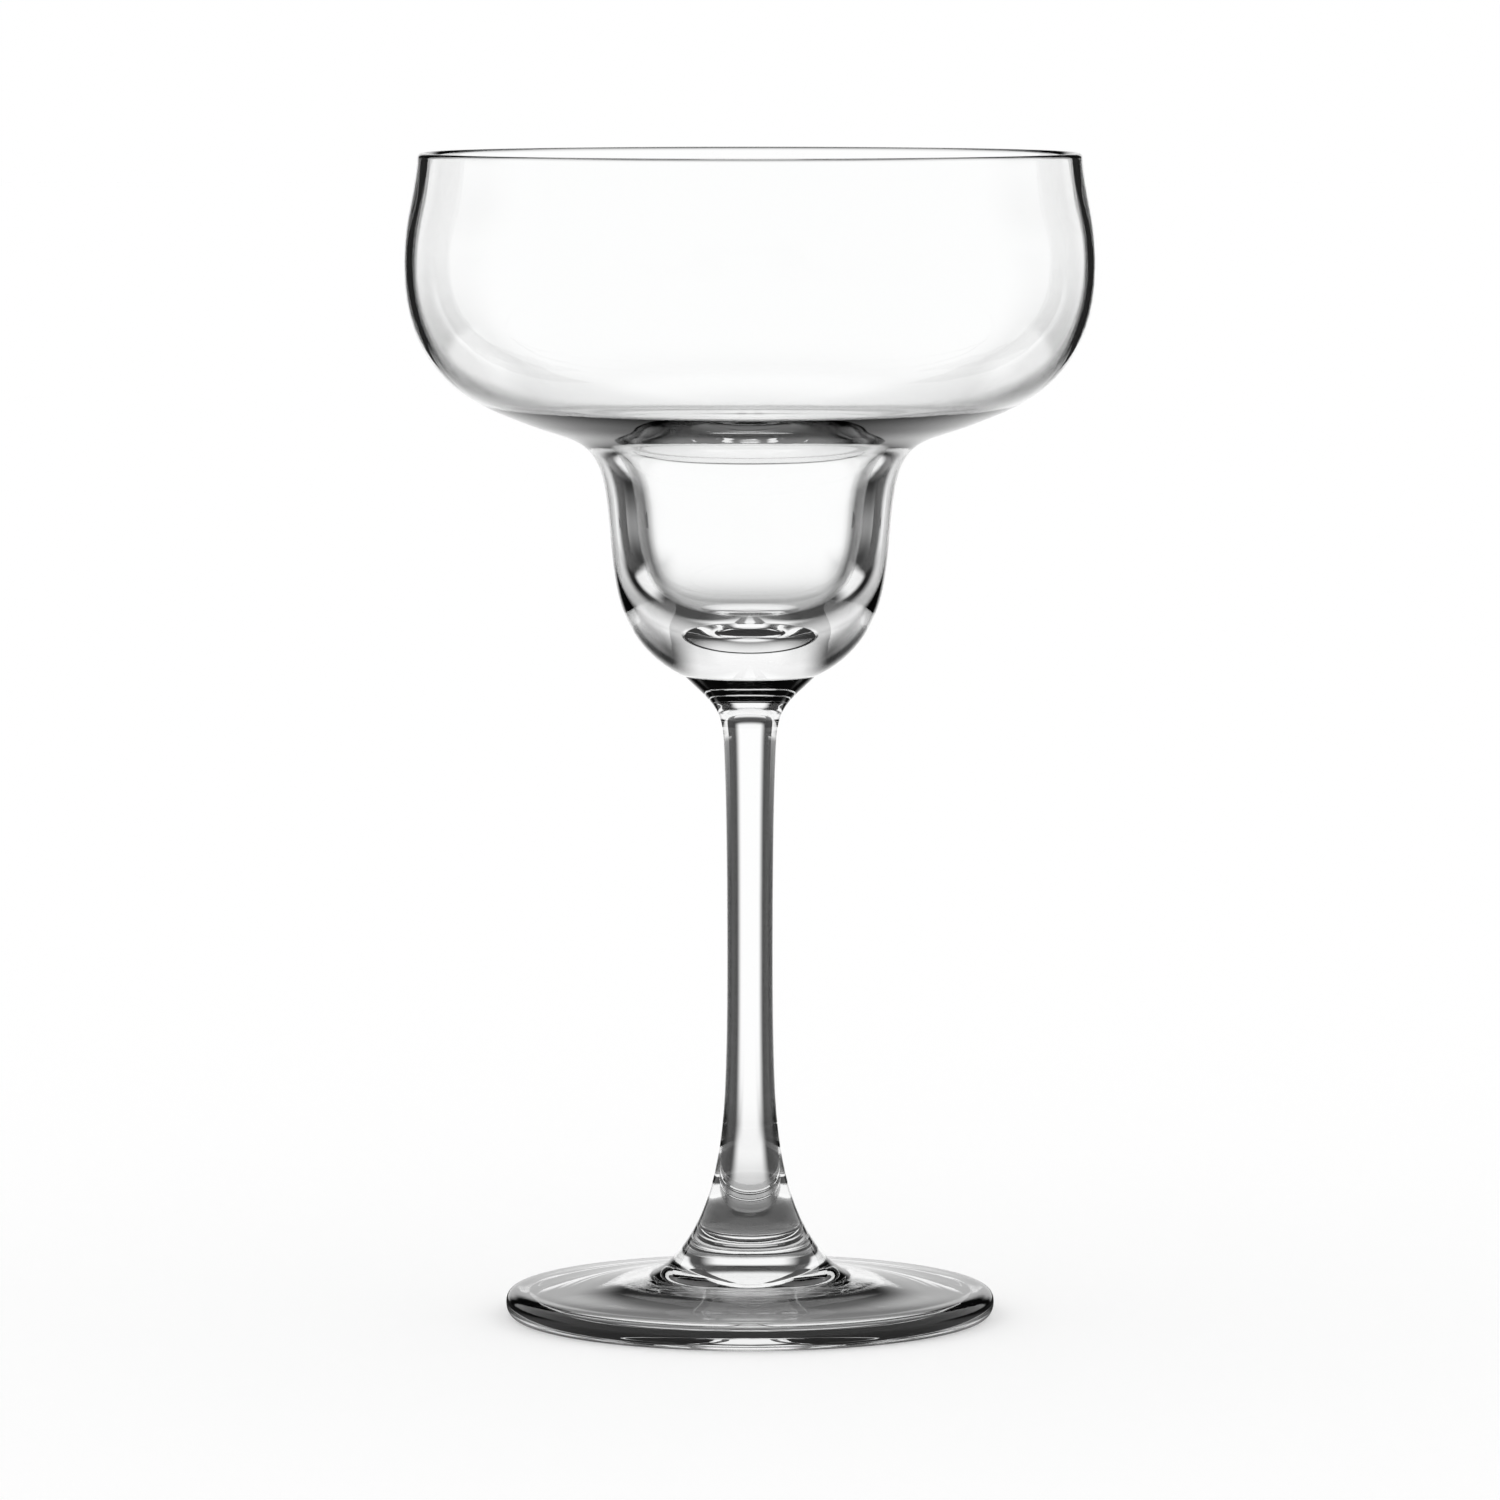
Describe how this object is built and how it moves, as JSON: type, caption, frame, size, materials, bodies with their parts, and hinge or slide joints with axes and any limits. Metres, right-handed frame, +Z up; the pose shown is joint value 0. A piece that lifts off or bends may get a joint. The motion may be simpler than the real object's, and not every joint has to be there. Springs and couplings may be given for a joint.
{
  "type": "margarita glass",
  "caption": "Clear stemmed margarita glass: wide rounded bowl stepping down into a narrow thick-based well, slender flared stem and round foot, for serving iced cocktails.",
  "frame": {"origin": "centre of the foot, on the plane that the glass stands on", "axes": "+Z up the axis of the glass to the lip; X and Y are any two square directions, because the glass is round"},
  "size_m": [0.1062, 0.1062, 0.18],
  "materials": {
    "clear_glass": "clear, fire-polished"
  },
  "bodies": {
    "root": {"bowl": "clear_glass", "stem": "clear_glass", "foot": "clear_glass"}
  },
  "joints": []
}
